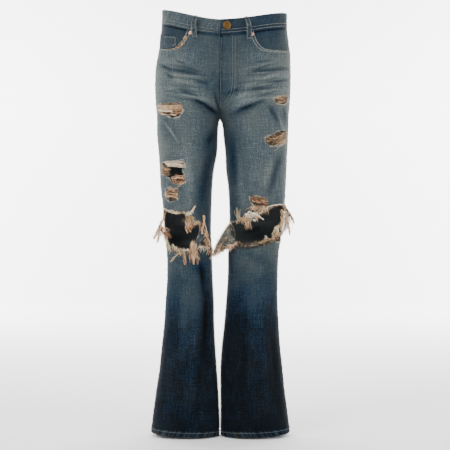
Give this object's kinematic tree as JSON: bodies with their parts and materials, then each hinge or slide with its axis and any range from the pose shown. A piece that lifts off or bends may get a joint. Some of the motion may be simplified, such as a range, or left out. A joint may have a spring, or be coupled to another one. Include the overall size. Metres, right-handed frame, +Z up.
{
  "type": "ripped jeans",
  "caption": "Bootcut denim jeans filled out as worn, with torn frayed knees and thighs, a buttoned waistband with belt loops, open hems.",
  "frame": {"origin": "the middle of the waist opening, level with the upper edge of the waistband at the sides, where the wearer's waist holds the jeans up", "axes": "+Z up, -Y towards the front, +X towards the wearer's left"},
  "size_m": [0.3497, 0.2373, 1.061],
  "materials": {
    "denim": "faded twill",
    "dark_denim": "unfaded twill",
    "weft": "loose cotton threads",
    "brass": "aged",
    "copper": "worn satin"
  },
  "bodies": {
    "root": {"back_left": "denim", "back_pocket_left": "denim", "back_pocket_right": "denim", "back_right": "denim", "belt_loop_back_left": "denim", "belt_loop_back_middle": "denim", "belt_loop_back_right": "denim", "belt_loop_front_left": "denim", "belt_loop_front_right": "denim", "button": "brass", "coin_pocket": "denim", "flap_knee_left": "denim", "fly": "denim", "fray_above_knee_left": "weft", "fray_above_knee_right": "weft", "fray_curl_right": "weft", "fray_flap_left": "weft", "fray_hip_left": "weft", "fray_knee_foot_left": "weft", "fray_knee_foot_right": "weft", "fray_knee_hang_right": "weft", "fray_knee_side_left": "weft", "fray_knee_side_right": "weft", "fray_knee_strip_right": "weft", "fray_knee_top_left": "weft", "fray_knee_top_right": "weft", "fray_knee_tuft_right": "weft", "fray_low_thigh_right": "weft", "fray_thigh_left": "weft", "fray_thigh_right": "weft", "front_left": "denim", "front_right": "denim", "hem_left": "dark_denim", "hem_right": "dark_denim", "pocket_facing_left": "dark_denim", "pocket_facing_right": "dark_denim", "rivet_left": "copper", "rivet_right": "copper", "waistband": "denim", "yoke_left": "denim", "yoke_right": "denim"}
  },
  "joints": []
}
